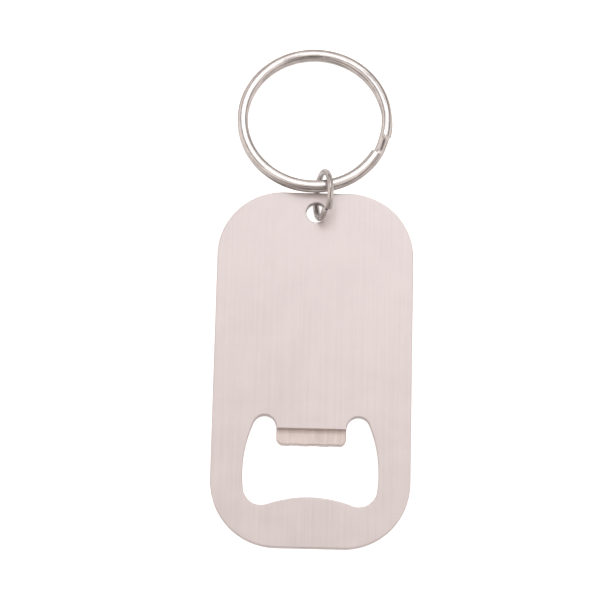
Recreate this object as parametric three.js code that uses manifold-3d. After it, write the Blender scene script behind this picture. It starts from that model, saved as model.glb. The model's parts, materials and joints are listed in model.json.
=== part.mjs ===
// Keychain bottle opener: a stamped steel plate with a pressed-down lip, a jump ring through the
// plate's small hole and a split key ring through the jump ring. Millimetres, +Z up.
// It lies level on its back: X runs across the plate and +Y points from the plate to the rings.
import * as THREE from 'three';
import { mergeVertices } from 'three/addons/utils/BufferGeometryUtils.js';
import Module from 'manifold-3d';

const wasm = await Module();
wasm.setup();

// ---- Driving sizes -------------------------------------------------------------------------

// Plate
const PLATE_WIDTH = 38.4;
const PLATE_LENGTH = 70;
const PLATE_THICKNESS = 1.9;
const PLATE_CORNER_RADIUS = 12.8;

// Round hole for the jump ring
const HOLE_DIAMETER = 4;
const HOLE_LAND = 2; // metal left between the hole and the plate's end

// Cap cut-out: two upper lobes beside the lip, bowed sides, two lower corners and a raised middle
const CUTOUT_WIDTH = 26.1;
const CUTOUT_END_WALL = 8.05; // metal between the lower corners and the plate's end
const CUTOUT_WIDEST_HEIGHT = 6.45; // the widest place, above the lower corners' lowest points
const CUTOUT_LOBE_RADIUS = 2.3;
const CUTOUT_CORNER_RADIUS = 3.5;
const CUTOUT_MIDDLE_RISE = 1.68; // the raised middle of the lower edge, above the corners

// Lip that catches the cap: a tongue of the plate, pressed down past the plate's back
const CAP_GAP = 10.3; // from the lip's edge to the raised middle opposite
const LIP_WIDTH = 13.5;
const LIP_REACH = 2.95; // from the step to the lip's edge
const LIP_DROP = 1.5;
const LIP_CORNER_RADIUS = 1.3;
const LIP_EDGE_ROUND = 0.3;
const STEP_WEB = 1.25; // metal between the step's front wall and its back wall
const STEP_SLOPE = 0.22; // how far each wall leans over its height
const STEP_BEND_RADIUS = 0.3;
const NECK_LENGTH = 0.17; // straight side of the tongue between an upper lobe and the step

// Jump ring
const JUMP_WIRE_DIAMETER = 1.2;
const JUMP_INNER_DIAMETER = 8;
const JUMP_LEAN = 15; // degrees that its top leans to +X
const JUMP_SWING = -1; // degrees that it is swung to +X about the hole
const JUMP_SIDE_SHARE = 0.4; // its wire lies this share of its room off the hole's axis, to +X
const JUMP_JOINT_ANGLE = 140; // where its cut ends meet: 0 points to +Y, 90 is the top
const JUMP_JOINT_GAP = 0.2;
const JUMP_JOINT_OFFSET = 0.7; // how far the cut ends stand out of line sideways
const JUMP_CLEARANCE = 0.22; // least play between the wire and the land that it goes round

// Split ring: flat wire with round edges, wound nearly twice
const SPLIT_OUTER_DIAMETER = 30.7;
const SPLIT_WIRE_WIDTH = 2.05;
const SPLIT_WIRE_HEIGHT = 1.15;
const SPLIT_EDGE_RADIUS = 0.45;
const SPLIT_COIL_GAP = 0.05;
const SPLIT_CROSSOVER_ANGLE = -12; // where the wire has climbed on to the upper coil
const SPLIT_CROSSOVER_LENGTH = 16; // degrees of climb from one coil to the other
const SPLIT_END_GAP = 1.5; // degrees between the upper coil's end and the climb
const SPLIT_SHIFT = -0.75; // the ring's middle, across the plate
const SPLIT_END_OVERLAP = 0.1; // how far the ring's near edge lies out over the plate's end
const SPLIT_FACE_CLEARANCE = 0.25; // from the ring to the plate's front face, folded over it
const SPLIT_TABLE_CLEARANCE = 0.02; // under the ring's far side

// Smoothness of the round stretches
const CORNER_STEPS = 16;
const LOBE_STEPS = 14;
const BEND_STEPS = 4;
const HOLE_STEPS = 48;
const WIRE_SIDES = 14;
const JUMP_STEPS = 56;
const SPLIT_STEPS_PER_TURN = 48;
const SPLIT_EDGE_STEPS = 3;

// Exactness, in millimetres
const SAME_POINT = 1e-6; // points closer than this are one point
const WELD_DISTANCE = 1e-4; // corners closer than this are joined
const PLATE_RAISE_STEP = 0.01;

const radians = THREE.MathUtils.degToRad;

// ---- Sizes that follow -----------------------------------------------------------------------

const plateEnd = PLATE_LENGTH / 2;
const holeRadius = HOLE_DIAMETER / 2;
const holeY = plateEnd - HOLE_LAND - holeRadius;

const jumpWireRadius = JUMP_WIRE_DIAMETER / 2;
const jumpInnerRadius = JUMP_INNER_DIAMETER / 2;
const jumpRadius = jumpInnerRadius + jumpWireRadius;
const jumpLean = radians(JUMP_LEAN);
const jumpSideShift = JUMP_SIDE_SHARE * (holeRadius - jumpWireRadius);

const splitRadius = (SPLIT_OUTER_DIAMETER - SPLIT_WIRE_WIDTH) / 2;
const coilPitch = SPLIT_WIRE_HEIGHT + SPLIT_COIL_GAP;
const splitHalfHeight = (coilPitch + SPLIT_WIRE_HEIGHT) / 2;

// ---- Where the pieces lie ----------------------------------------------------------------------

// The jump ring stands on its wire. Seen along X, its wire goes under the land, up through the
// hole and back over the plate. Its middle is placed so that it clears the land's back edge and the
// hole's front edge by the same amount, with the plate's back at the given height.
function jumpFit(plateBack) {
  const middleZ = jumpRadius * Math.cos(jumpLean) + jumpWireRadius;
  const toBack = (middleZ - plateBack) / Math.cos(jumpLean);
  const toFront = toBack - PLATE_THICKNESS / Math.cos(jumpLean);
  const landPlay = (y) => jumpInnerRadius - Math.hypot(y - holeY - holeRadius, toBack);
  const holePlay = (y) => Math.hypot(y - holeY + holeRadius, toFront) - jumpRadius - jumpWireRadius;
  let near = holeY;
  let far = holeY + 2 * jumpRadius;
  while (far - near > SAME_POINT) {
    const middle = (near + far) / 2;
    if (landPlay(middle) > holePlay(middle)) near = middle;
    else far = middle;
  }
  return { middleY: near, middleZ, toBack, toFront, play: landPlay(near) };
}

// The plate lies on its lip, or higher where the jump ring's wire needs more room under it.
function platePlace() {
  const highest = LIP_DROP + JUMP_WIRE_DIAMETER;
  let height = LIP_DROP;
  while (jumpFit(height).play < JUMP_CLEARANCE && height < highest) height += PLATE_RAISE_STEP;
  return height;
}

const plateBack = platePlace();
const plateFront = plateBack + PLATE_THICKNESS;
const jump = jumpFit(plateBack);

// The split ring's near side lies just past the plate's end and just above its front face, and
// the ring slopes down from there until its far side meets the table.
const splitNearY = plateEnd - SPLIT_END_OVERLAP + SPLIT_WIRE_WIDTH / 2;
const splitNearZ = plateFront + SPLIT_FACE_CLEARANCE + splitHalfHeight;

// How far the sloping ring's section reaches below its own middle.
function splitReachDown(slope) {
  const flatWidth = SPLIT_WIRE_WIDTH / 2 - SPLIT_EDGE_RADIUS;
  const flatHeight = splitHalfHeight - SPLIT_EDGE_RADIUS;
  return flatWidth * Math.sin(slope) + flatHeight * Math.cos(slope) + SPLIT_EDGE_RADIUS;
}

function splitRestSlope() {
  const rounds = 8;
  let slope = 0;
  for (let i = 0; i < rounds; i += 1) {
    const fall = splitNearZ - SPLIT_TABLE_CLEARANCE - splitReachDown(slope);
    slope = Math.asin(fall / (2 * splitRadius));
  }
  return slope;
}

// ---- Shapes ------------------------------------------------------------------------------------

function arcPoints(x, y, radius, from, to, steps) {
  const points = [];
  for (let i = 0; i <= steps; i += 1) {
    const angle = from + (to - from) * i / steps;
    points.push(new THREE.Vector2(x + radius * Math.cos(angle), y + radius * Math.sin(angle)));
  }
  return points;
}

// A closed outline through corners given as [x, y, radius], with each corner rounded.
function roundedOutline(corners, steps) {
  const at = (i) => new THREE.Vector2(...corners[(i + corners.length) % corners.length]);
  return corners.flatMap(([x, y, radius], i) => {
    const corner = new THREE.Vector2(x, y);
    if (!radius) return [corner];
    const back = at(i - 1).sub(corner).normalize();
    const ahead = at(i + 1).sub(corner).normalize();
    const halfAngle = Math.acos(back.dot(ahead)) / 2;
    const middle = back.clone().add(ahead).setLength(radius / Math.sin(halfAngle)).add(corner);
    const tangent = radius / Math.tan(halfAngle);
    const from = corner.clone().addScaledVector(back, tangent).sub(middle).angle();
    const to = corner.clone().addScaledVector(ahead, tangent).sub(middle).angle();
    const turn = THREE.MathUtils.euclideanModulo(to - from + Math.PI, 2 * Math.PI) - Math.PI;
    return arcPoints(middle.x, middle.y, radius, from, from + turn, steps);
  });
}

function rectangleOutline(left, bottom, right, top, radii, steps) {
  const [lowLeft, lowRight, highRight, highLeft] = radii;
  return roundedOutline([
    [left, bottom, lowLeft], [right, bottom, lowRight], [right, top, highRight], [left, top, highLeft],
  ], steps);
}

// Drops points that repeat the one before, where one stretch ends and the next begins.
function withoutRepeats(points) {
  return points.filter((point, i) => point.distanceTo(points.at(i - 1)) > SAME_POINT);
}

const cutoutLowY = -plateEnd + CUTOUT_END_WALL;
const lipEdgeY = cutoutLowY + CUTOUT_MIDDLE_RISE + CAP_GAP;
const stepY = lipEdgeY + LIP_REACH;
const lipRootY = stepY + 2 * STEP_WEB; // the lip's own bar runs into the plate up to here

// Every stretch of the cut-out meets the next without a corner, so the places where the arcs
// meet lie on the lines through their middles.
function cutoutOutline() {
  const lobe = new THREE.Vector2(LIP_WIDTH / 2 + CUTOUT_LOBE_RADIUS, stepY + NECK_LENGTH);
  const sideY = cutoutLowY + CUTOUT_WIDEST_HEIGHT;
  const inset = CUTOUT_WIDTH / 2 - lobe.x;
  const sideRadius = (inset ** 2 + (lobe.y - sideY) ** 2 - CUTOUT_LOBE_RADIUS ** 2)
    / (2 * (inset - CUTOUT_LOBE_RADIUS));
  const side = new THREE.Vector2(CUTOUT_WIDTH / 2 - sideRadius, sideY);
  const cornerY = cutoutLowY + CUTOUT_CORNER_RADIUS;
  const cornerReach = Math.sqrt((sideRadius - CUTOUT_CORNER_RADIUS) ** 2 - (cornerY - sideY) ** 2);
  const corner = new THREE.Vector2(side.x + cornerReach, cornerY);
  const peakBelow = CUTOUT_CORNER_RADIUS - CUTOUT_MIDDLE_RISE;
  const bulgeRadius = (corner.x ** 2 + peakBelow ** 2 - CUTOUT_CORNER_RADIUS ** 2)
    / (2 * CUTOUT_MIDDLE_RISE);
  const bulge = new THREE.Vector2(0, cutoutLowY + CUTOUT_MIDDLE_RISE - bulgeRadius);
  const lobeToSide = lobe.clone().sub(side).angle();
  const sideToCorner = Math.atan2(corner.y - side.y, corner.x - side.x);
  const cornerToBulge = Math.atan2(bulge.y - corner.y, bulge.x - corner.x);
  const half = [
    new THREE.Vector2(LIP_WIDTH / 2, stepY),
    ...arcPoints(lobe.x, lobe.y, CUTOUT_LOBE_RADIUS, Math.PI, lobeToSide, LOBE_STEPS),
    ...arcPoints(side.x, side.y, sideRadius, lobeToSide, sideToCorner, LOBE_STEPS),
    ...arcPoints(corner.x, corner.y, CUTOUT_CORNER_RADIUS, sideToCorner, cornerToBulge, LOBE_STEPS),
    ...arcPoints(bulge.x, bulge.y, bulgeRadius, cornerToBulge + Math.PI, Math.PI / 2, LOBE_STEPS),
  ];
  const mirrored = half.map((point) => new THREE.Vector2(-point.x, point.y)).reverse();
  return withoutRepeats([...half, ...mirrored]);
}

// The lip seen from the side: the plate's end of it, the step down, and the lip with a round edge.
// First number is Y, second is Z.
function lipSideOutline() {
  const lipTop = plateFront - LIP_DROP;
  const lipUnder = plateBack - LIP_DROP;
  return roundedOutline([
    [lipRootY, plateFront, 0],
    [stepY, plateFront, STEP_BEND_RADIUS],
    [stepY - STEP_SLOPE, lipTop, STEP_BEND_RADIUS],
    [lipEdgeY, lipTop, LIP_EDGE_ROUND],
    [lipEdgeY, lipUnder, LIP_EDGE_ROUND],
    [stepY - STEP_SLOPE + STEP_WEB, lipUnder, STEP_BEND_RADIUS],
    [stepY + STEP_WEB, plateBack, STEP_BEND_RADIUS],
    [lipRootY, plateBack, 0],
  ], BEND_STEPS);
}

// ---- Solids ------------------------------------------------------------------------------------

function extrude(outline, depth, holes = [], steps = 1) {
  const shape = new THREE.Shape(outline);
  shape.holes = holes.map((points) => new THREE.Path(points));
  return new THREE.ExtrudeGeometry(shape, { depth, steps, bevelEnabled: false });
}

function toSolid(geometry) {
  geometry.deleteAttribute('normal');
  geometry.deleteAttribute('uv');
  const merged = mergeVertices(geometry, WELD_DISTANCE);
  return new wasm.Manifold(new wasm.Mesh({
    numProp: 3,
    vertProperties: new Float32Array(merged.attributes.position.array),
    triVerts: new Uint32Array(merged.index.array),
  }));
}

function toGeometry(solid) {
  const { vertProperties, triVerts } = solid.getMesh();
  const geometry = new THREE.BufferGeometry();
  geometry.setAttribute('position', new THREE.BufferAttribute(vertProperties, 3));
  geometry.setIndex(new THREE.BufferAttribute(triVerts, 1));
  geometry.computeVertexNormals();
  return geometry;
}

// Bends a straight bar, whose section is given as (outwards, up), round a ring in the XY plane.
// lift gives how far the wire is shifted up at each angle along its path.
function bentRing(section, radius, startAngle, sweep, steps, lift) {
  const geometry = extrude(section, 1, [], steps);
  const place = geometry.attributes.position;
  for (let i = 0; i < place.count; i += 1) {
    const along = sweep * (1 - place.getZ(i));
    const reach = radius + place.getX(i);
    const angle = startAngle + along;
    place.setXYZ(i, reach * Math.cos(angle), reach * Math.sin(angle), place.getY(i) + lift(along));
  }
  geometry.computeVertexNormals();
  return geometry;
}

function openerPlateGeometry() {
  const halfWidth = PLATE_WIDTH / 2;
  const corner = PLATE_CORNER_RADIUS;
  const outline = rectangleOutline(
    -halfWidth, -plateEnd, halfWidth, plateEnd, [corner, corner, corner, corner], CORNER_STEPS,
  );
  const hole = withoutRepeats(arcPoints(0, holeY, holeRadius, 0, 2 * Math.PI, HOLE_STEPS));
  const sheet = extrude(outline, PLATE_THICKNESS, [cutoutOutline(), hole]).translate(0, 0, plateBack);

  const lipBar = extrude(lipSideOutline(), LIP_WIDTH);
  lipBar.applyMatrix4(new THREE.Matrix4().makeBasis(
    new THREE.Vector3(0, 1, 0), new THREE.Vector3(0, 0, 1), new THREE.Vector3(1, 0, 0),
  )).translate(-LIP_WIDTH / 2, 0, 0);
  // The lip seen from above, as a cutter that stands past it at the root, above and below.
  const past = STEP_WEB;
  const lipPlan = rectangleOutline(
    -LIP_WIDTH / 2, lipEdgeY, LIP_WIDTH / 2, lipRootY + past,
    [LIP_CORNER_RADIUS, LIP_CORNER_RADIUS, 0, 0], CORNER_STEPS,
  );
  const lipCutter = extrude(lipPlan, plateFront + 2 * past).translate(0, 0, -past);
  const lip = toSolid(lipBar).intersect(toSolid(lipCutter));
  return toGeometry(toSolid(sheet).add(lip));
}

function jumpRingGeometry() {
  const section = withoutRepeats(arcPoints(0, 0, jumpWireRadius, 0, 2 * Math.PI, WIRE_SIDES));
  const sweep = 2 * Math.PI - JUMP_JOINT_GAP / jumpRadius;
  const start = radians(JUMP_JOINT_ANGLE) + JUMP_JOINT_GAP / jumpRadius / 2;
  const lift = (along) => JUMP_JOINT_OFFSET * (along / sweep - 0.5);
  return bentRing(section, jumpRadius, start, sweep, JUMP_STEPS, lift);
}

function splitRingGeometry() {
  const halfWidth = SPLIT_WIRE_WIDTH / 2;
  const halfHeight = SPLIT_WIRE_HEIGHT / 2;
  const section = rectangleOutline(
    -halfWidth, -halfHeight, halfWidth, halfHeight, Array(4).fill(SPLIT_EDGE_RADIUS), SPLIT_EDGE_STEPS,
  );
  const turn = 2 * Math.PI;
  const climb = radians(SPLIT_CROSSOVER_LENGTH);
  const sweep = 2 * turn - climb - radians(SPLIT_END_GAP);
  const lift = (along) => coilPitch * (THREE.MathUtils.smoothstep(along, turn - climb, turn) - 0.5);
  const steps = Math.round(SPLIT_STEPS_PER_TURN * sweep / turn);
  return bentRing(section, splitRadius, radians(SPLIT_CROSSOVER_ANGLE), sweep, steps, lift);
}

// ---- Assembly ----------------------------------------------------------------------------------

function namedMesh(name, geometry, color, roughness) {
  const material = new THREE.MeshStandardMaterial({ color, roughness, metalness: 1 });
  const mesh = new THREE.Mesh(geometry, material);
  mesh.name = name;
  return mesh;
}

const openerPlate = namedMesh('opener_plate', openerPlateGeometry(), '#d9cbc8', 0.42);

// The jump ring's group turns about the hole's axis. In it, the ring's own X runs along +Y and its
// own Y runs up, leaning over to +X.
const jumpRing = namedMesh('jump_ring', jumpRingGeometry(), '#cfcac8', 0.16);
const jumpTilt = new THREE.Matrix4().makeBasis(
  new THREE.Vector3(0, 1, 0),
  new THREE.Vector3(Math.sin(jumpLean), 0, Math.cos(jumpLean)),
  new THREE.Vector3(Math.cos(jumpLean), 0, -Math.sin(jumpLean)),
);
jumpRing.quaternion.setFromRotationMatrix(jumpTilt);
const middleOverHole = (jump.toBack + jump.toFront) / 2;
jumpRing.position.set(
  jumpSideShift + middleOverHole * Math.sin(jumpLean), jump.middleY - holeY, jump.middleZ,
);
const jumpSwing = new THREE.Group();
jumpSwing.position.set(0, holeY, 0);
jumpSwing.rotation.z = -radians(JUMP_SWING);
jumpSwing.add(jumpRing);

// The split ring's group turns about the wire that goes through the jump ring.
const splitRing = namedMesh('split_ring', splitRingGeometry(), '#c9c3c1', 0.14);
splitRing.position.set(0, splitRadius, 0);
const splitFold = new THREE.Group();
splitFold.position.set(SPLIT_SHIFT, splitNearY, splitNearZ);
splitFold.rotation.x = -splitRestSlope();
splitFold.add(splitRing);

// The origin goes under the middle of the whole object, on the surface that it lies on.
const model = new THREE.Group();
model.add(openerPlate, jumpSwing, splitFold);
model.updateMatrixWorld(true);
const box = new THREE.Box3().setFromObject(model, true);
const middle = box.getCenter(new THREE.Vector3());
model.position.set(-middle.x, -middle.y, -box.min.z);

export default model;
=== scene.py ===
import json
import math

import bmesh
import bpy
import numpy as np
from mathutils import Euler, Matrix, Vector, geometry


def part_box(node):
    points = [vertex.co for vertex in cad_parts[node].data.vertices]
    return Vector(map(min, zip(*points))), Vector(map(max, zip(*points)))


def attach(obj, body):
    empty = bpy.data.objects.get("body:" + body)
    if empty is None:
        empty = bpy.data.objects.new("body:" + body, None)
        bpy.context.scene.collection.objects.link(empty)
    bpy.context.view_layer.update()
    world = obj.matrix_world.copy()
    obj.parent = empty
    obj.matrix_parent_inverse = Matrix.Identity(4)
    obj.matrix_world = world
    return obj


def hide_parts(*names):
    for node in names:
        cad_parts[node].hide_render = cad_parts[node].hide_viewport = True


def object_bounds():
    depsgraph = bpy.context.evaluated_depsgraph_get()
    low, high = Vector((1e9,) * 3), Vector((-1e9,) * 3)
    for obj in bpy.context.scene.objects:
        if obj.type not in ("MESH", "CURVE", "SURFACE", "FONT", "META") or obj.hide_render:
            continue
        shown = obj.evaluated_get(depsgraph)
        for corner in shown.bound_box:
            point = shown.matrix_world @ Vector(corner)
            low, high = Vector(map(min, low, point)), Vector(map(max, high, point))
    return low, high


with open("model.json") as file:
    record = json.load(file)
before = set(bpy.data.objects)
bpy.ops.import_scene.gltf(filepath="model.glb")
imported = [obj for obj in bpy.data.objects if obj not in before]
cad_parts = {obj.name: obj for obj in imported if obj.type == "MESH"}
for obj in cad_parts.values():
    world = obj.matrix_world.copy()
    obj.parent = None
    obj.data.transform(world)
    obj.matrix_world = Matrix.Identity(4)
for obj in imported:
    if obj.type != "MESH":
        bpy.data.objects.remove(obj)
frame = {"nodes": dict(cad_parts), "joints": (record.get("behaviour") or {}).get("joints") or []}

bl_info = {
    "name": "Keychain Bottle Opener",
    "version": (1, 0, 0),
    "blender": (4, 5, 0),
    "location": "View3D > Sidebar > Opener",
    "description": "Builds a stamped steel keychain bottle opener with its jump ring and split ring",
    "category": "Object",
}

MM = 0.001

PLATE_LOW, PLATE_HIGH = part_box("opener_plate")
SPLIT_LOW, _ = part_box("split_ring")
PACKED_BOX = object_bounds()
JOINTS = {joint["name"]: joint for joint in frame["joints"]}
SPLIT_NEAR_WIRE = Vector(JOINTS["split_ring_fold"]["pos_m"])


# ---- Sizes and colours that a user would change ---------------------------------------------


def length(name, description, millimetres):
    return bpy.props.FloatProperty(
        name=name, description=description, default=millimetres * MM, precision=5, unit="LENGTH"
    )


def degrees(name, description, value):
    return bpy.props.FloatProperty(
        name=name, description=description, default=math.radians(value), subtype="ANGLE"
    )


def colour(name, description, value):
    return bpy.props.FloatVectorProperty(
        name=name, description=description, default=value, size=3, min=0, max=1, subtype="COLOR"
    )


def share(name, description, value):
    return bpy.props.FloatProperty(
        name=name, description=description, default=value, min=0, max=1, subtype="FACTOR"
    )


class OpenerPlateSizes(bpy.types.PropertyGroup):
    """Sizes of the stamped plate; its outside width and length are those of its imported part"""

    thickness: length("Thickness", "Thickness of the steel sheet", 1.9)
    corner_radius: length("Corner Radius", "Radius of the plate's four corners", 12.8)
    hole_diameter: length("Hole", "Diameter of the round hole for the jump ring", 4.0)
    hole_land: length("Hole Land", "Metal between the hole and the plate's end", 2.0)
    cutout_width: length("Cut-out Width", "Widest place of the cap cut-out", 26.1)
    end_wall: length("End Wall", "Metal between the cut-out and the plate's end", 8.05)
    widest_height: length("Widest Height", "Height of the cut-out's widest place", 6.45)
    lobe_radius: length("Lobe Radius", "Radius of the round pockets beside the lip", 2.3)
    low_corner_radius: length("Low Corner Radius", "Radius of the cut-out's lower corners", 3.5)
    middle_rise: length("Middle Rise", "Height of the raised middle opposite the lip", 1.68)
    cap_gap: length("Cap Gap", "Room between the lip and the raised middle", 10.3)
    lip_width: length("Lip Width", "Width of the lip that catches the cap", 13.5)
    lip_reach: length("Lip Reach", "Length of the lip below its step", 2.95)
    lip_drop: length("Lip Drop", "How far the lip is pressed down", 1.5)
    lip_corner_radius: length("Lip Corner Radius", "Radius of the lip's two corners", 1.3)
    lip_burr: length("Lip Burr", "How far the sheared edge of the lip wanders", 0.08)
    neck: length("Neck", "Straight side between a pocket and the step", 0.17)
    step_slope: length("Step Slope", "How far the step's wall leans over its height", 0.08)
    step_web: length("Step Web", "Metal between the step's front and back walls", 1.25)
    step_round: length("Step Round", "Rounding at the top and foot of the step", 0.05)
    front_round: length("Front Round", "Rounding of every edge of the front face", 0.17)
    back_round: length("Back Round", "Rounding of every edge of the back face", 0.12)


class JumpRingSizes(bpy.types.PropertyGroup):
    """Sizes of the jump ring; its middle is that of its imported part"""

    wire_diameter: length("Wire Diameter", "Thickness of the round wire", 1.2)
    inner_diameter: length("Inner Diameter", "Clear width inside the ring", 8.0)
    lean: degrees("Lean", "How far the ring's top leans to the right", 15)
    swing: degrees("Swing", "How far the ring is swung about the hole", -1)
    joint_angle: degrees("Joint Angle", "Where the cut ends meet, from +Y up over the ring", 140)
    joint_gap: length("Joint Gap", "Gap between the two cut ends", 0.2)
    joint_offset: length("Joint Offset", "How far the cut ends stand out of line", 0.7)
    end_round: length("End Round", "Rounding of the two cut ends", 0.12)


class SplitRingSizes(bpy.types.PropertyGroup):
    """Sizes of the split key ring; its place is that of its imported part"""

    outer_diameter: length("Outer Diameter", "Diameter over the outside of the ring", 30.7)
    wire_width: length("Wire Width", "Width of the flat wire, across the ring", 2.05)
    wire_height: length("Wire Height", "Height of the flat wire, along the ring's axis", 1.15)
    edge_radius: length("Edge Radius", "Rounding of the packed wire's four long edges", 0.45)
    fullness: bpy.props.FloatProperty(
        name="Fullness", description="2 for a plain oval section, more for a squarer one",
        default=2.15, min=2.0, max=4.0,
    )
    coil_gap: length("Coil Gap", "Gap between the two coils", 0.05)
    crossover: degrees("Crossover", "Where the wire has climbed on to the upper coil", -12)
    climb: degrees("Climb", "Angle over which the wire climbs", 16)
    end_gap: degrees("End Gap", "Angle between the upper coil's end and the climb", 1.5)
    end_round: length("End Round", "Rounding of the two cut ends", 0.14)
    end_spring: length("End Spring", "How far each cut end springs away sideways", 0.22)


class OpenerFinish(bpy.types.PropertyGroup):
    """Colours and wear of the metals, whose darker colours also carry painted shade and painted
    reflection
    """

    steel: colour("Steel", "Brushed stainless steel of the plate", (0.745, 0.69, 0.69))
    # The steel's darker colour serves the brush marks, and the painted shade on edges and walls
    steel_grain_and_painted_shade: colour("Steel Shade", "Steel in the brush marks", (0.62, 0.57, 0.57))
    nickel: colour("Nickel", "Bright nickel plate of both rings", (0.72, 0.69, 0.68))
    # The nickel's dark colour serves rub marks and patches, and the painted reflection streaks along
    # the wire
    nickel_marks_and_painted_reflection: colour("Nickel Shade", "Nickel in its fine marks", (0.30, 0.27, 0.26))
    scratches: share("Scratches", "Share of the surface with handling scratches", 0.35)


class StudioSizes(bpy.types.PropertyGroup):
    """The floor and the camera"""

    floor_width: length("Floor Width", "Width of the floor", 1600)
    focal_length: bpy.props.FloatProperty(
        name="Focal Length", description="Camera lens", default=127.6, unit="CAMERA"
    )
    elevation: degrees("Elevation", "Camera's angle above the horizon", 76.93)
    roll: degrees("Roll", "Camera's turn about its own line of sight", 1.41)
    distance: length("Distance", "From the camera to the middle of its view", 414.4)
    aim_right: length("Aim Right", "Middle of the view, right of the plate's middle", -2.80)
    aim_up: length("Aim Up", "Middle of the view, past the plate's middle", 13.27)
    floor_colour: colour("Floor", "Plain pale floor", (0.85, 0.84, 0.83))
    floor_glow: share("Floor Glow", "Light that the floor is seen to give", 0.8)


# ---- Node helpers ---------------------------------------------------------------------------


class NodeSketch:
    """Adds nodes to one tree and joins them as it goes"""

    def __init__(self, tree):
        self.tree = tree

    def add(self, kind, inputs=None, **settings):
        node = self.tree.nodes.new(kind)
        for key, value in settings.items():
            setattr(node, key, value)
        for key, value in (inputs or {}).items():
            if isinstance(value, bpy.types.NodeSocket):
                self.tree.links.new(value, node.inputs[key])
            else:
                node.inputs[key].default_value = value
        return node

    def math(self, operation, *values):
        return self.add("ShaderNodeMath", dict(enumerate(values)), operation=operation).outputs[0]

    def vector(self, operation, *values):
        node = self.add("ShaderNodeVectorMath", dict(enumerate(values)), operation=operation)
        return node.outputs["Vector"]

    def scaled(self, vector, level):
        node = self.add("ShaderNodeVectorMath", {0: vector, "Scale": level}, operation="SCALE")
        return node.outputs["Vector"]

    def combine(self, x=0.0, y=0.0, z=0.0):
        return self.add("ShaderNodeCombineXYZ", {"X": x, "Y": y, "Z": z}).outputs[0]

    def ramp(self, value, low, high, to_low=0.0, to_high=1.0, smooth=True):
        node = self.add("ShaderNodeMapRange", {
            "Value": value, "From Min": low, "From Max": high, "To Min": to_low, "To Max": to_high,
        }, interpolation_type="SMOOTHSTEP" if smooth else "LINEAR")
        return node.outputs["Result"]

    def mix(self, factor, first, second, blend="MIX"):
        node = self.add("ShaderNodeMix", data_type="RGBA", blend_type=blend)
        for index, value in ((0, factor), (6, first), (7, second)):
            if isinstance(value, bpy.types.NodeSocket):
                self.tree.links.new(value, node.inputs[index])
            else:
                node.inputs[index].default_value = value
        return node.outputs[2]

    def group(self, tree, **inputs):
        node = self.add("ShaderNodeGroup", node_tree=tree)
        for key, value in inputs.items():
            socket = node.inputs[key.replace("_", " ").title()]
            if isinstance(value, bpy.types.NodeSocket):
                self.tree.links.new(value, socket)
            else:
                socket.default_value = value
        return node


def new_group(name, inputs, outputs):
    """A shader node group with named sockets; returns its sketch and its input and output nodes."""
    tree = bpy.data.node_groups.new(name, "ShaderNodeTree")
    for label, kind, value in inputs:
        socket = tree.interface.new_socket(label, in_out="INPUT", socket_type=kind)
        if value is not None:
            socket.default_value = value
    for label, kind in outputs:
        tree.interface.new_socket(label, in_out="OUTPUT", socket_type=kind)
    sketch = NodeSketch(tree)
    return sketch, sketch.add("NodeGroupInput").outputs, sketch.add("NodeGroupOutput").inputs


# ---- Effects that several metals share ------------------------------------------------------

COARSE_LINES = (0.21, 0.3, 0.21)  # the coarse lines' frequency, as a share of the fine ones'
SCRATCH_LAYERS = ((0.5, 13 * MM), (-0.85, 57 * MM))  # slant, and a shift that parts the layers
SCRATCH_LIMIT = (-0.12, 0.78)  # noise above share * first + second is a scratch
SCRATCH_EDGE = 0.05
PIT_FLOOR = 0.4  # the flat bottom's share of a pit's radius


def brush_lines_group():
    """Fine parallel lines that run along the vector's Y, at a coarse and a fine spacing."""
    sketch, given, out = new_group("Brush Lines", (
        ("Vector", "NodeSocketVector", None),
        ("Spacing", "NodeSocketFloat", 0.16 * MM),
        ("Length", "NodeSocketFloat", 8 * MM),
        ("Coarse Share", "NodeSocketFloat", 0.4),
    ), (("Lines", "NodeSocketFloat"),))
    across = sketch.math("DIVIDE", 1.0, given["Spacing"])
    along = sketch.math("DIVIDE", 1.0, given["Length"])
    fine = sketch.vector("MULTIPLY", given["Vector"], sketch.combine(across, along, across))
    coarse = sketch.vector("MULTIPLY", fine, COARSE_LINES)
    lines = sketch.add("ShaderNodeTexNoise", {
        "Vector": fine, "Scale": 1.0, "Detail": 3.0, "Roughness": 0.6,
    }).outputs["Fac"]
    bands = sketch.add("ShaderNodeTexNoise", {
        "Vector": coarse, "Scale": 1.0, "Detail": 2.0, "Roughness": 0.55,
    }).outputs["Fac"]
    bands = sketch.ramp(bands, 0.3, 0.7)
    lines = sketch.ramp(lines, 0.25, 0.75, smooth=False)
    mixed = sketch.add("ShaderNodeMix", {0: given["Coarse Share"], 2: lines, 3: bands})
    sketch.tree.links.new(mixed.outputs[0], out["Lines"])
    return sketch.tree


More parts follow.
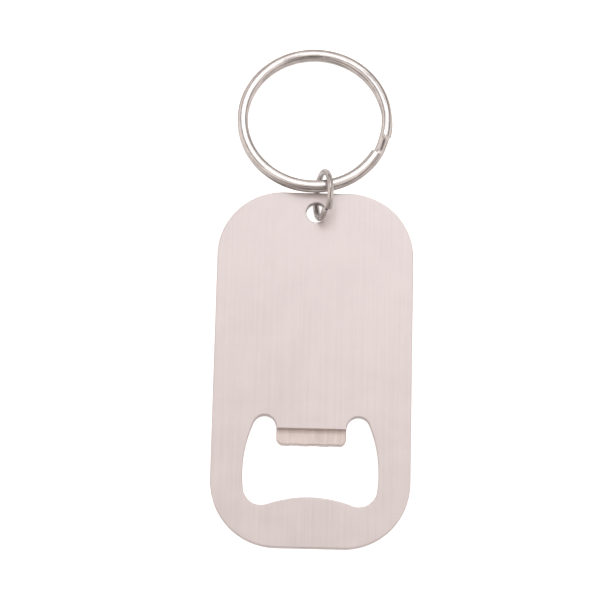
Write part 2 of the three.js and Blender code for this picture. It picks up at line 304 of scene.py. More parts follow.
def scratches_group():
    """Sparse thin scratches at two slants to the vector's Y."""
    sketch, given, out = new_group("Handling Scratches", (
        ("Vector", "NodeSocketVector", None),
        ("Width", "NodeSocketFloat", 0.08 * MM),
        ("Length", "NodeSocketFloat", 6 * MM),
        ("Share", "NodeSocketFloat", 0.3),
    ), (("Mask", "NodeSocketFloat"),))
    across = sketch.math("DIVIDE", 1.0, given["Width"])
    along = sketch.math("DIVIDE", 1.0, given["Length"])
    stretch = sketch.combine(across, along, across)
    limit = sketch.math("MULTIPLY_ADD", given["Share"], *SCRATCH_LIMIT)
    layers = []
    for slant, shift in SCRATCH_LAYERS:
        turned = sketch.add("ShaderNodeVectorRotate", {
            "Vector": given["Vector"], "Angle": slant,
        }, rotation_type="Z_AXIS").outputs[0]
        moved = sketch.vector("ADD", turned, (shift, shift, shift))
        noise = sketch.add("ShaderNodeTexNoise", {
            "Vector": sketch.vector("MULTIPLY", moved, stretch), "Scale": 1.0, "Detail": 1.0,
        }).outputs["Fac"]
        layers.append(sketch.ramp(noise, limit, sketch.math("ADD", limit, SCRATCH_EDGE)))
    sketch.tree.links.new(sketch.math("MAXIMUM", *layers), out["Mask"])
    return sketch.tree


def specks_group():
    """Small round pits, a share of the cells having one each."""
    sketch, given, out = new_group("Specks", (
        ("Vector", "NodeSocketVector", None),
        ("Spacing", "NodeSocketFloat", 3 * MM),
        ("Radius", "NodeSocketFloat", 0.12 * MM),
        ("Share", "NodeSocketFloat", 0.3),
    ), (("Mask", "NodeSocketFloat"),))
    scale = sketch.math("DIVIDE", 1.0, given["Spacing"])
    cells = sketch.add("ShaderNodeTexVoronoi", {
        "Vector": given["Vector"], "Scale": scale, "Randomness": 1.0,
    })
    chosen = sketch.math("LESS_THAN", sketch.add("ShaderNodeSeparateColor", {
        "Color": cells.outputs["Color"]}).outputs[0], given["Share"])
    size = sketch.math("MULTIPLY", given["Radius"], scale)
    near = sketch.ramp(cells.outputs["Distance"], size, sketch.math("MULTIPLY", size, PIT_FLOOR))
    sketch.tree.links.new(sketch.math("MULTIPLY", near, chosen), out["Mask"])
    return sketch.tree


def clouds_group():
    """Soft broad patches, such as handling marks and uneven polish leave."""
    sketch, given, out = new_group("Clouds", (
        ("Vector", "NodeSocketVector", None),
        ("Size", "NodeSocketFloat", 10 * MM),
    ), (("Value", "NodeSocketFloat"),))
    noise = sketch.add("ShaderNodeTexNoise", {
        "Vector": given["Vector"], "Scale": sketch.math("DIVIDE", 1.0, given["Size"]),
        "Detail": 4.0, "Roughness": 0.55, "Distortion": 0.4,
    }).outputs["Fac"]
    sketch.tree.links.new(sketch.ramp(noise, 0.28, 0.72), out["Value"])
    return sketch.tree


def shared_effects():
    """The shared groups, built once."""
    makers = {
        "Brush Lines": brush_lines_group,
        "Handling Scratches": scratches_group,
        "Specks": specks_group,
        "Clouds": clouds_group,
    }
    return {name: bpy.data.node_groups.get(name) or make() for name, make in makers.items()}


# ---- Metals ---------------------------------------------------------------------------------

PIT_IN_STEEL = (0.11, 0.09, 0.085)
PIT_IN_NICKEL = (0.16, 0.14, 0.13)
LIP_TINT = (1.0, 0.97, 0.93)
STEEL_ROUGHNESS = (0.36, 0.47)  # between the brush marks, and in them
STEEL_GRAIN_HEIGHT = 0.004 * MM
NICKEL_GRAIN_HEIGHT = 0.003 * MM
NICKEL_DULLING = 0.12  # how much rougher the draw lines and the rub marks are
JUMP_WIRE_FINISH = {"gloss": 0.14, "line_spacing": 0.3 * MM}
SPLIT_WIRE_FINISH = {"gloss": 0.18, "line_spacing": 0.26 * MM}


def new_metal(name, roughness):
    material = bpy.data.materials.new(name)
    material.use_nodes = True
    sketch = NodeSketch(material.node_tree)
    shader = material.node_tree.nodes["Principled BSDF"]
    shader.inputs["Metallic"].default_value = 1.0
    shader.inputs["Roughness"].default_value = roughness
    return material, sketch, shader


def opaque(rgb):
    return (*rgb, 1.0)


def brushed_steel(finish):
    """Stainless sheet, brushed along its length, with smoother worn edges painted darker as shade,
    pits and faint patches.
    """
    material, sketch, shader = new_metal("brushed_steel", 0.42)
    effects = shared_effects()
    place = sketch.add("ShaderNodeTexCoord").outputs["Object"]
    edge = sketch.add("ShaderNodeAttribute", attribute_name="edge").outputs["Fac"]
    pressed = sketch.add("ShaderNodeAttribute", attribute_name="pressed").outputs["Fac"]
    brush = sketch.group(
        effects["Brush Lines"], vector=place, spacing=0.15 * MM, length=14 * MM, coarse_share=0.45
    )
    scratches = sketch.group(
        effects["Handling Scratches"], vector=place, width=0.07 * MM, length=3.5 * MM,
        share=finish.scratches,
    )
    specks = sketch.group(
        effects["Specks"], vector=place, spacing=7 * MM, radius=0.2 * MM, share=0.3
    )
    clouds = sketch.group(effects["Clouds"], vector=place, size=9 * MM)
    flat = sketch.math("SUBTRACT", 1.0, edge)
    lines = sketch.math("MULTIPLY", brush.outputs["Lines"], flat)
    shade = sketch.ramp(brush.outputs["Lines"], 0.2, 0.9, 0.45, 0.0, smooth=False)
    tone = sketch.mix(shade, opaque(finish.steel), opaque(finish.steel_grain_and_painted_shade))
    patch = sketch.ramp(clouds.outputs[0], 0.0, 1.0, 0.94, 1.03, smooth=False)
    tone = sketch.mix(1.0, tone, sketch.combine(patch, patch, patch), "MULTIPLY")
    drawn = sketch.group(
        effects["Brush Lines"], vector=place, spacing=0.5 * MM, length=4 * MM, coarse_share=0.5
    )
    streak = sketch.ramp(drawn.outputs["Lines"], 0.3, 0.8, 1.04, 0.93)
    warmed = sketch.mix(1.0, tone, sketch.scaled(LIP_TINT, streak), "MULTIPLY")
    tone = sketch.mix(pressed, tone, warmed)
    dark = sketch.math("MULTIPLY", specks.outputs[0], 0.55)
    tone = sketch.mix(dark, tone, opaque(PIT_IN_STEEL))
    # Painted shade: rounded edges and walls are painted darker towards the steel's darker colour
    tone = sketch.mix(sketch.math("MULTIPLY", edge, 0.35), tone, opaque(finish.steel_grain_and_painted_shade))
    rough = sketch.ramp(lines, 0.0, 1.0, *STEEL_ROUGHNESS, smooth=False)
    rough = sketch.math("MULTIPLY_ADD", clouds.outputs[0], 0.05, rough)
    rough = sketch.math("MULTIPLY_ADD", scratches.outputs[0], 0.08, rough)
    rough = sketch.math("MULTIPLY_ADD", edge, -0.1, rough)
    height = sketch.math("MULTIPLY_ADD", scratches.outputs[0], -0.5, lines)
    height = sketch.math("MULTIPLY_ADD", specks.outputs[0], -6.0, height)
    bump = sketch.add("ShaderNodeBump", {
        "Strength": 0.35, "Distance": STEEL_GRAIN_HEIGHT, "Height": height,
    }).outputs[0]
    for value, socket in ((tone, "Base Color"), (rough, "Roughness"), (bump, "Normal")):
        sketch.tree.links.new(value, shader.inputs[socket])
    return material


def bright_nickel(name, finish, gloss, line_spacing):
    """Polished nickel plate on drawn wire: draw lines along it, painted strongly darker as streaks
    of painted reflection, and fine rub marks.
    """
    material, sketch, shader = new_metal(name, gloss)
    effects = shared_effects()
    straight = sketch.add("ShaderNodeAttribute", attribute_name="straight_wire").outputs["Vector"]
    drawn = sketch.group(
        effects["Brush Lines"], vector=straight, spacing=line_spacing, length=9 * MM,
        coarse_share=0.25,
    )
    scratches = sketch.group(
        effects["Handling Scratches"], vector=straight, width=0.05 * MM, length=1.6 * MM,
        share=finish.scratches,
    )
    specks = sketch.group(
        effects["Specks"], vector=straight, spacing=1.6 * MM, radius=0.07 * MM, share=0.25
    )
    clouds = sketch.group(effects["Clouds"], vector=straight, size=3 * MM)
    shade = sketch.ramp(clouds.outputs[0], 0.0, 1.0, 0.0, 0.3, smooth=False)
    shade = sketch.math("MULTIPLY_ADD", scratches.outputs[0], 0.25, shade)
    # Painted reflection: the draw lines are painted as dark streaks along the wire, standing in for
    # dark reflection lines
    draw_marks_and_painted_reflections = sketch.ramp(drawn.outputs["Lines"], 0.52, 0.72, 0.0, 0.7)
    shade = sketch.math("MINIMUM", sketch.math("ADD", shade, draw_marks_and_painted_reflections), 1.0)
    tone = sketch.mix(shade, opaque(finish.nickel), opaque(finish.nickel_marks_and_painted_reflection))
    dark = sketch.math("MULTIPLY", specks.outputs[0], 0.6)
    tone = sketch.mix(dark, tone, opaque(PIT_IN_NICKEL))
    rough = sketch.math("MULTIPLY_ADD", drawn.outputs["Lines"], NICKEL_DULLING, gloss)
    rough = sketch.math("MULTIPLY_ADD", scratches.outputs[0], NICKEL_DULLING, rough)
    height = sketch.math("MULTIPLY_ADD", scratches.outputs[0], -0.8, drawn.outputs["Lines"])
    height = sketch.math("MULTIPLY_ADD", specks.outputs[0], -2.0, height)
    height = sketch.math("MULTIPLY_ADD", clouds.outputs[0], 3.0, height)
    bump = sketch.add("ShaderNodeBump", {
        "Strength": 0.3, "Distance": NICKEL_GRAIN_HEIGHT, "Height": height,
    }).outputs[0]
    for value, socket in ((tone, "Base Color"), (rough, "Roughness"), (bump, "Normal")):
        sketch.tree.links.new(value, shader.inputs[socket])
    return material


# ---- Plate ----------------------------------------------------------------------------------

FINE_ARC = 0.16 * MM  # spacing of points round the small arcs
BROAD_ARC = 0.5 * MM
EDGE_ROWS = 4
WALL_ROWS = 3
STEP_ROW = 0.03 * MM
GUARD = 0.12 * MM  # the first row of flat metal inside a rounded edge
FILL_GRID = 2.2 * MM
STEP_COLUMNS = 33  # points across the lip in each row of the step
SAME_POINT = 1e-4 * MM
WELD_DISTANCE = 5e-4 * MM
BURR_WAVES = ((0.55, 1.7, 0.6), (0.3, 4.9, 2.1), (0.25, 11.3, 0))  # share, radians per mm, start


def arc(middle, radius, start, end, spacing):
    """Points from one angle to another, both ends included."""
    count = max(2, math.ceil(abs(end - start) * radius / spacing)) + 1
    angles = np.linspace(start, end, count)
    return np.column_stack((
        middle[0] + radius * np.cos(angles), middle[1] + radius * np.sin(angles),
    ))


def join(stretches):
    """One closed loop of the stretches, without repeated points."""
    loop = np.vstack(stretches)
    gap = np.linalg.norm(loop - np.roll(loop, 1, axis=0), axis=1)
    return loop[gap > SAME_POINT]


def even(start, end, spacing):
    """Points on a straight line from start to end, evenly spread."""
    start, end = np.array(start, float), np.array(end, float)
    count = max(1, math.ceil(np.linalg.norm(end - start) / spacing)) + 1
    return start + (end - start) * np.linspace(0, 1, count)[:, None]


def angle_of(vector):
    return math.atan2(vector[1], vector[0])


class PlatePlan:
    """The plate seen from above: its three outlines and the heights of its two faces."""

    def __init__(self, sizes):
        self.sizes = sizes
        self.half_width = (PLATE_HIGH.x - PLATE_LOW.x) / 2
        self.centre_x = (PLATE_HIGH.x + PLATE_LOW.x) / 2
        self.low_end, self.high_end = PLATE_LOW.y, PLATE_HIGH.y
        self.front = PLATE_HIGH.z
        self.back = PLATE_HIGH.z - sizes.thickness
        self.cutout_low = self.low_end + sizes.end_wall
        self.lip_edge = self.cutout_low + sizes.middle_rise + sizes.cap_gap
        self.step = self.lip_edge + sizes.lip_reach
        self.lobe = np.array((sizes.lip_width / 2 + sizes.lobe_radius, self.step + sizes.neck))

    def outer(self):
        """The plate's outline, counter-clockwise."""
        r = self.sizes.corner_radius
        x, low, high = self.half_width - r, self.low_end + r, self.high_end - r
        quarter = math.pi / 2
        corners = ((-x, low, 2), (x, low, 3), (x, high, 4), (-x, high, 5))
        arcs = [arc((cx, cy), r, turn * quarter, (turn + 1) * quarter, BROAD_ARC)
                for cx, cy, turn in corners]
        sides = []
        for current, following in zip(arcs, arcs[1:] + arcs[:1]):
            sides += [current, even(current[-1], following[0], BROAD_ARC)]
        return self.shifted(join(sides))

    def hole(self):
        """The round hole, clockwise."""
        r = self.sizes.hole_diameter / 2
        middle = (0, self.high_end - self.sizes.hole_land - r)
        return self.shifted(join([arc(middle, r, 2 * math.pi, 0, FINE_ARC)]))

    def cutout(self):
        """The cap cut-out, clockwise: every arc meets the next without a corner."""
        s = self.sizes
        side_y = self.cutout_low + s.widest_height
        inset = s.cutout_width / 2 - self.lobe[0]
        side_r = (inset ** 2 + (self.lobe[1] - side_y) ** 2 - s.lobe_radius ** 2) / (
            2 * (inset - s.lobe_radius))
        side = np.array((s.cutout_width / 2 - side_r, side_y))
        corner_y = self.cutout_low + s.low_corner_radius
        reach = math.sqrt((side_r - s.low_corner_radius) ** 2 - (corner_y - side_y) ** 2)
        corner = np.array((side[0] + reach, corner_y))
        peak_below = s.low_corner_radius - s.middle_rise
        bulge_r = (corner[0] ** 2 + peak_below ** 2 - s.low_corner_radius ** 2) / (
            2 * s.middle_rise)
        bulge = np.array((0, self.cutout_low + s.middle_rise - bulge_r))
        lobe_to_side = angle_of(self.lobe - side)
        side_to_corner = angle_of(corner - side)
        corner_to_bulge = angle_of(bulge - corner)
        lip_r, half_lip = s.lip_corner_radius, s.lip_width / 2
        lip_corner = np.array((half_lip - lip_r, self.lip_edge + lip_r))
        neck_low = np.array((half_lip, lip_corner[1]))
        right = [
            even((0, self.lip_edge), (lip_corner[0], self.lip_edge), FINE_ARC),
            arc(lip_corner, lip_r, -math.pi / 2, 0, FINE_ARC),
            *self.neck_side(half_lip, neck_low[1]),
            arc(self.lobe, s.lobe_radius, math.pi, lobe_to_side, FINE_ARC),
            arc(side, side_r, lobe_to_side, side_to_corner, BROAD_ARC),
            arc(corner, s.low_corner_radius, side_to_corner, corner_to_bulge, FINE_ARC),
            arc(bulge, bulge_r, corner_to_bulge + math.pi, math.pi / 2, BROAD_ARC),
        ]
        half = join(right)
        mirrored = (half * (-1, 1))[::-1]
        return self.shifted(self.burred(join([half, mirrored])))

    def neck_side(self, x, low):
        """The tongue's straight side, with a point for each row of the step."""
        rows = [y for y in sorted(self.step_rows(self.step)) if low < y < self.lobe[1]]
        stops = [low, *rows, self.lobe[1]]
        return [even((x, a), (x, b), 3 * FINE_ARC) for a, b in zip(stops, stops[1:])]

    def burred(self, loop):
        """The lip's sheared edge wanders a little; the wander fades at the lip's corners."""
        s = self.sizes
        x, y = loop[:, 0], loop[:, 1]
        near_edge = np.clip(1 - (y - self.lip_edge) / s.lip_corner_radius, 0, 1)
        near_edge[np.abs(x) > s.lip_width / 2 + s.lip_burr] = 0
        near_edge[y < self.lip_edge - s.lip_burr] = 0
        across = x / MM
        wander = sum(part * np.sin(rate * across + start) for part, rate, start in BURR_WAVES)
        return np.column_stack((x, y + s.lip_burr * wander * near_edge))

    def shifted(self, loop):
        return loop + (self.centre_x, 0)

    def step_rows(self, step):
        """Rows that resolve the step's bend, from above it to below it."""
        reach = self.sizes.step_round + 2 * STEP_ROW
        return np.arange(step + reach, step - self.sizes.step_slope - reach, -STEP_ROW)

    def drop(self, x, y, step):
        """How far a face is pressed down at each place, for the wall that starts at step."""
        s = self.sizes
        span = s.step_slope + 2 * s.step_round
        t = np.clip((step + s.step_round - y) / span, 0, 1)
        on_tongue = (np.abs(x - self.centre_x) < self.lobe[0]) & (y > self.lip_edge - s.cap_gap / 2)
        return np.where(on_tongue, s.lip_drop * t * t * (3 - 2 * t), 0)

    def front_z(self, x, y):
        return self.front - self.drop(x, y, self.step)

    def back_z(self, x, y):
        return self.back - self.drop(x, y, self.step + self.sizes.step_web)


def inset(loop, distance):
    """The loop moved to its left by a distance, which is into the metal."""
    ahead = np.roll(loop, -1, axis=0) - loop
    ahead /= np.linalg.norm(ahead, axis=1)[:, None]
    behind = np.roll(ahead, 1, axis=0)
    left = np.column_stack((-ahead[:, 1] - behind[:, 1], ahead[:, 0] + behind[:, 0]))
    left /= np.linalg.norm(left, axis=1)[:, None]
    miter = np.sum(left * np.column_stack((-ahead[:, 1], ahead[:, 0])), axis=1)
    return loop + left * (distance / np.clip(miter, 0.5, 1))[:, None]


def inside(points, loop):
    """True for each point that the closed loop goes round."""
    x, y = points[:, 0][:, None], points[:, 1][:, None]
    x0, y0 = loop[:, 0], loop[:, 1]
    x1, y1 = np.roll(x0, -1), np.roll(y0, -1)
    crosses = (y0 > y) != (y1 > y)
    with np.errstate(divide="ignore", invalid="ignore"):
        at = x0 + (y - y0) / (y1 - y0) * (x1 - x0)
    return (np.sum(crosses & (x < at), axis=1) % 2) == 1


def in_metal(points, loops):
    outer, *holes = loops
    kept = inside(points, outer)
    for hole in holes:
        kept &= ~inside(points, hole)
    return kept


def face_triangles(loops, rows, half_width):
    """Triangles that fill one flat face between its edge loops. Gives the points and triangles."""
    guards = [inset(loop, GUARD) for loop in loops]
    points, edges = [], []
    for loop in loops + guards:
        base = len(points)
        points += [tuple(p / MM) for p in loop]
        edges += [(base + i, base + (i + 1) % len(loop)) for i in range(len(loop))]
    far_in = [inset(loop, 3 * GUARD) for loop in loops]
    outer = loops[0]
    grid = np.array([(x, y) for y in np.arange(outer[:, 1].min(), outer[:, 1].max(), FILL_GRID)
                     for x in np.arange(outer[:, 0].min(), outer[:, 0].max(), FILL_GRID)])
    step_points = np.array([(x, y) for y in rows
                            for x in np.linspace(-half_width, half_width, STEP_COLUMNS)])
    clear = (grid[:, 1] < rows.min() - FILL_GRID / 4) | (grid[:, 1] > rows.max() + FILL_GRID / 4)
    for extra in (grid[clear | (np.abs(grid[:, 0]) > half_width)], step_points):
        points += [tuple(p / MM) for p in extra[in_metal(extra, far_in)]]
    found, _, triangles, *_ = geometry.delaunay_2d_cdt(
        [Vector(p) for p in points], edges, [], 0, 1e-5)
    found = np.array([tuple(p) for p in found]) * MM
    triangles = np.array([t for t in triangles if len(t) == 3])
    return found, triangles[in_metal(found[triangles].mean(axis=1), loops)]


def opener_plate_mesh(sizes):
    """A closed shell: two faces, and for each outline a wall with rounded edges."""
    plan = PlatePlan(sizes)
    loops = [plan.outer(), plan.cutout(), plan.hole()]
    quarter = np.linspace(0, math.pi / 2, EDGE_ROWS + 1)
    places, faces, edge_values, pressed_values = [], [], [], []

    def add_vertices(xy, z, edge_value):
        base = sum(len(p) for p in places)
        places.append(np.column_stack((xy, z)))
        edge_values.append(np.full(len(xy), edge_value))
        pressed_values.append(plan.drop(*xy.T, plan.step) / sizes.lip_drop)
        return base

    for loop in loops:
        rings = []
        lower = []
        for a in quarter:
            # The edge value marks rounded edges and walls: the steel is painted darker there as
            # shade, and made smoother
            edge = math.sin(2 * a) if a < math.pi / 4 else 1.0
            xy = inset(loop, sizes.front_round * (1 - math.sin(a)))
            rings.append((xy, plan.front_z(*xy.T) - sizes.front_round * (1 - math.cos(a)), edge))
            xy = inset(loop, sizes.back_round * (1 - math.sin(a)))
            lower.append((xy, plan.back_z(*xy.T) + sizes.back_round * (1 - math.cos(a)), edge))
        for i in range(1, WALL_ROWS):
            t = i / WALL_ROWS
            rings.append((loop, rings[EDGE_ROWS][1] * (1 - t) + lower[-1][1] * t, 1.0))
        rings += lower[::-1]
        bases = [add_vertices(*ring) for ring in rings]
        count = len(loop)
        for upper, under in zip(bases, bases[1:]):
            for i in range(count):
                j = (i + 1) % count
                faces.append((upper + i, under + i, under + j, upper + j))

    half_width = sizes.lip_width / 2
    for height, rounding, step, flipped in (
        (plan.front_z, sizes.front_round, plan.step, False),
        (plan.back_z, sizes.back_round, plan.step + sizes.step_web, True),
    ):
        edge_loops = [inset(loop, rounding) for loop in loops]
        xy, triangles = face_triangles(edge_loops, plan.step_rows(step), half_width)
        base = add_vertices(xy, height(*xy.T), 0.0)
        order = (0, 2, 1) if flipped else (0, 1, 2)
        faces += [tuple(int(base + t[k]) for k in order) for t in triangles]

    mesh = bpy.data.meshes.new("plate")
    mesh.from_pydata(np.vstack(places).tolist(), [], faces)
    for name, values in (("edge", edge_values), ("pressed", pressed_values)):
        attribute = mesh.attributes.new(name, "FLOAT", "POINT")
        attribute.data.foreach_set("value", np.concatenate(values).astype(np.float32))
    shell = bmesh.new()
    shell.from_mesh(mesh)
    bmesh.ops.remove_doubles(shell, verts=shell.verts, dist=WELD_DISTANCE)
    loose = [v for v in shell.verts if not v.link_faces]
    bmesh.ops.delete(shell, geom=loose, context="VERTS")
    if shell.calc_volume(signed=True) < 0:
        bmesh.ops.reverse_faces(shell, faces=shell.faces)
    for face in shell.faces:
        face.smooth = True
    shell.to_mesh(mesh)
    shell.free()
    return mesh


# ---- Rings of wire, by Geometry Nodes -------------------------------------------------------

ROUND_SECTION_POINTS, DOMED_SECTION_POINTS = 40, 56
JUMP_WIRE_POINTS, SPLIT_WIRE_POINTS = 260, 900
CROWDING = 0.97  # 0 spreads the wire's points evenly, near 1 crowds them at both ends
SPRING_SPAN = 0.7  # radians of wire that spring away behind each cut end
SLOPE_STEPS = 8


def domed_section(sketch, given):
    """The flat wire's section: an oval filled out towards its corners by the fullness."""
    unit = sketch.add("GeometryNodeCurvePrimitiveCircle", {
        "Resolution": DOMED_SECTION_POINTS, "Radius": 1.0,
    })
    here = sketch.add("GeometryNodeInputPosition").outputs[0]
    parts = sketch.add("ShaderNodeSeparateXYZ", {0: here}).outputs
    power = sketch.math("DIVIDE", 2.0, given["Fullness"])
    sides = []
    for part, size in ((parts["X"], given["Wire Width"]), (parts["Y"], given["Wire Height"])):
        full = sketch.math("POWER", sketch.math("ABSOLUTE", part), power)
        signed = sketch.math("MULTIPLY", full, sketch.math("SIGN", part))
        sides.append(sketch.math("MULTIPLY", signed, sketch.math("MULTIPLY", size, 0.5)))
    return sketch.add("GeometryNodeSetPosition", {
        "Geometry": unit.outputs["Curve"], "Position": sketch.combine(*sides),
    }).outputs["Geometry"]


def wire_tree(name, flat_wire):
    """A wire swept along a coiled path in the XY plane, with rounded ends.

    The path's angle and rise come from named inputs; its points crowd towards both ends.
    """
    tree = bpy.data.node_groups.new(name, "GeometryNodeTree")
    numbers = ["Radius", "Start Angle", "Sweep", "Rise", "End Round", "End Spring", "Wire Width"]
    if flat_wire:
        numbers += ["Wire Height", "Fullness", "Climb Start", "Climb End"]
    tree.interface.new_socket("Geometry", in_out="INPUT", socket_type="NodeSocketGeometry")
    for label in numbers:
        tree.interface.new_socket(label, in_out="INPUT", socket_type="NodeSocketFloat")
    tree.interface.new_socket("Points", in_out="INPUT", socket_type="NodeSocketInt")
    tree.interface.new_socket("Material", in_out="INPUT", socket_type="NodeSocketMaterial")
    tree.interface.new_socket("Geometry", in_out="OUTPUT", socket_type="NodeSocketGeometry")
    sketch = NodeSketch(tree)
    given = sketch.add("NodeGroupInput").outputs

    line = sketch.add("GeometryNodeCurvePrimitiveLine").outputs["Curve"]
    line = sketch.add("GeometryNodeResampleCurve", {
        "Curve": line, "Count": given["Points"]}).outputs["Curve"]
    spread = sketch.add("GeometryNodeSplineParameter").outputs["Factor"]
    crowd = sketch.math("SINE", sketch.math("MULTIPLY", spread, 2 * math.pi))
    share_along = sketch.math("MULTIPLY_ADD", crowd, -CROWDING / (2 * math.pi), spread)
    kept = sketch.add("GeometryNodeCaptureAttribute", {"Geometry": line})
    kept.capture_items.new("FLOAT", "Share")
    tree.links.new(share_along, kept.inputs["Share"])
    line, along = kept.outputs["Geometry"], kept.outputs["Share"]

    turned = sketch.math("MULTIPLY", along, given["Sweep"])
    angle = sketch.math("ADD", given["Start Angle"], turned)
    if flat_wire:
        lift = sketch.ramp(turned, given["Climb Start"], given["Climb End"])
    else:
        lift = along
    lift = sketch.math("MULTIPLY", sketch.math("SUBTRACT", lift, 0.5), given["Rise"])
    from_start = sketch.ramp(turned, 0.0, SPRING_SPAN, 1.0, 0.0)
    left = sketch.math("SUBTRACT", given["Sweep"], turned)
    from_end = sketch.ramp(left, 0.0, SPRING_SPAN, 1.0, 0.0)
    spring = sketch.math("SUBTRACT", from_start, from_end)
    reach = sketch.math("MULTIPLY_ADD", spring, given["End Spring"], given["Radius"])
    place = sketch.combine(
        sketch.math("MULTIPLY", reach, sketch.math("COSINE", angle)),
        sketch.math("MULTIPLY", reach, sketch.math("SINE", angle)), lift,
    )
    path = sketch.add("GeometryNodeSetPosition", {
        "Geometry": line, "Position": place}).outputs["Geometry"]
    path = sketch.add("GeometryNodeSetCurveNormal", {"Curve": path}, mode="Z_UP").outputs["Curve"]
    full = sketch.math("MULTIPLY", given["Sweep"], given["Radius"])
    distance = sketch.math("MULTIPLY", along, full)
    to_end = sketch.math("MINIMUM", distance, sketch.math("SUBTRACT", full, distance))
    bare = sketch.math("SUBTRACT", 1.0, sketch.math("MINIMUM", 1.0, sketch.math(
        "DIVIDE", to_end, given["End Round"])))
    lost = sketch.math("SUBTRACT", 1.0, sketch.math("SQRT", sketch.math(
        "SUBTRACT", 1.0, sketch.math("MULTIPLY", bare, bare))))
    shrink = sketch.math("DIVIDE", sketch.math("MULTIPLY", given["End Round"], 2.0),
                         given["Wire Width"])
    scale = sketch.math("SUBTRACT", 1.0, sketch.math("MULTIPLY", lost, shrink))

    if flat_wire:
        profile = domed_section(sketch, given)
    else:
        profile = sketch.add("GeometryNodeCurvePrimitiveCircle", {
            "Resolution": ROUND_SECTION_POINTS,
            "Radius": sketch.math("MULTIPLY", given["Wire Width"], 0.5),
        }).outputs["Curve"]
    section = sketch.add("GeometryNodeCaptureAttribute", {"Geometry": profile})
    section.capture_items.new("VECTOR", "Section")
    tree.links.new(sketch.add("GeometryNodeInputPosition").outputs[0], section.inputs["Section"])

    wire = sketch.add("GeometryNodeCurveToMesh", {
        "Curve": path, "Profile Curve": section.outputs["Geometry"], "Scale": scale,
        "Fill Caps": True,
    }).outputs["Mesh"]
    parts = sketch.add("ShaderNodeSeparateXYZ", {0: section.outputs["Section"]}).outputs
    wire = sketch.add("GeometryNodeStoreNamedAttribute", {
        "Geometry": wire, "Name": "straight_wire",
        "Value": sketch.combine(parts["X"], distance, parts["Y"]),
    }, data_type="FLOAT_VECTOR", domain="POINT").outputs["Geometry"]
    wire = sketch.add("GeometryNodeSetShadeSmooth", {"Geometry": wire}).outputs["Geometry"]
    wire = sketch.add("GeometryNodeRealizeInstances", {"Geometry": wire}).outputs["Geometry"]
    wire = sketch.add("GeometryNodeSetMaterial", {
        "Geometry": wire, "Material": given["Material"]}).outputs["Geometry"]
    tree.links.new(wire, sketch.add("NodeGroupOutput").inputs["Geometry"])
    return tree


def wire_ring(name, tree, values, place):
    """Runs a wire tree with the given inputs and keeps its result as a plain mesh, put in place."""
    seed = bpy.data.objects.new(name + "_path", bpy.data.meshes.new(name + "_path"))
    bpy.context.scene.collection.objects.link(seed)
    modifier = seed.modifiers.new("wire", "NODES")
    modifier.node_group = tree
    sockets = {item.name: item.identifier for item in tree.interface.items_tree
               if item.in_out == "INPUT"}
    for label, value in values.items():
        modifier[sockets[label]] = value
    graph = bpy.context.evaluated_depsgraph_get()
    mesh = bpy.data.meshes.new_from_object(seed.evaluated_get(graph), depsgraph=graph)
    bpy.data.objects.remove(seed)
    mesh.name = name
    mesh.transform(place)
    shell = bmesh.new()
    shell.from_mesh(mesh)
    if shell.calc_volume(signed=True) < 0:
        bmesh.ops.reverse_faces(shell, faces=shell.faces)
        shell.to_mesh(mesh)
    shell.free()
    return mesh


def finished_piece(name, mesh, body, node):
    """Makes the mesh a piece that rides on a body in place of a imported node."""
    piece = bpy.data.objects.new(name, mesh)
    bpy.context.scene.collection.objects.link(piece)
    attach(piece, body)
    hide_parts(node)
    return piece


def jump_ring_place(sizes):
    """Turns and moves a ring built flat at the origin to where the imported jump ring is."""
    lean = sizes.lean
    upright = Matrix((
        (0, math.sin(lean), math.cos(lean)),
        (1, 0, 0),
        (0, math.cos(lean), -math.sin(lean)),
    ))
    turn = Euler((0, 0, -sizes.swing)).to_matrix() @ upright
    corners = np.array([v.co for v in frame["nodes"]["jump_ring"].data.vertices])
    own = corners @ np.array(turn)
    middle = turn @ Vector((own.min(axis=0) + own.max(axis=0)) / 2)
    return Matrix.Translation(middle) @ turn.to_4x4()


def split_ring_place(sizes, radius, half_height):
    """Slopes a ring built flat at the origin down from its near wire to the floor."""
    slope = 0.0
    for _ in range(SLOPE_STEPS):
        under = ((sizes.wire_width / 2 - sizes.edge_radius) * math.sin(slope)
                 + (half_height - sizes.edge_radius) * math.cos(slope) + sizes.edge_radius)
        slope = math.asin((SPLIT_NEAR_WIRE.z - SPLIT_LOW.z - under) / (2 * radius))
    turn = Matrix.Rotation(-slope, 4, "X")
    return Matrix.Translation(SPLIT_NEAR_WIRE) @ turn @ Matrix.Translation((0, radius, 0))


# ---- Studio ---------------------------------------------------------------------------------

# Angles are in degrees from straight up: ahead is towards the key ring, sideways to the right.
# A zone has its low angle, its high angle and the softness of its edges.
ROOM_TINT = (1.0, 0.912, 0.862)
CEILING = 1.17
FAR_END, FAR_END_LIGHT = (50, 85), 0.35
NEAR_END, NEAR_END_LIGHT = (-70, 12), 0.45
SOFTBOX_LIGHT = (2.75, 2.86, 2.98)
SOFTBOX_AHEAD, SOFTBOX_SIDEWAYS = (22, 38, 1.5), (-11, 22, 3)
STAND_LIGHT = 0.25
STANDS_AHEAD = (2, 12)
STANDS_SIDEWAYS = ((-32, -18, 3), (32, 56, 3))
CAMERA_SHADE, CAMERA_LIGHT = (15, 12), 0.08
FLOOR_BELOW = 0.02 * MM
FLOOR_IN_METAL = 0.3  # share of the floor's glow that the metal reflects


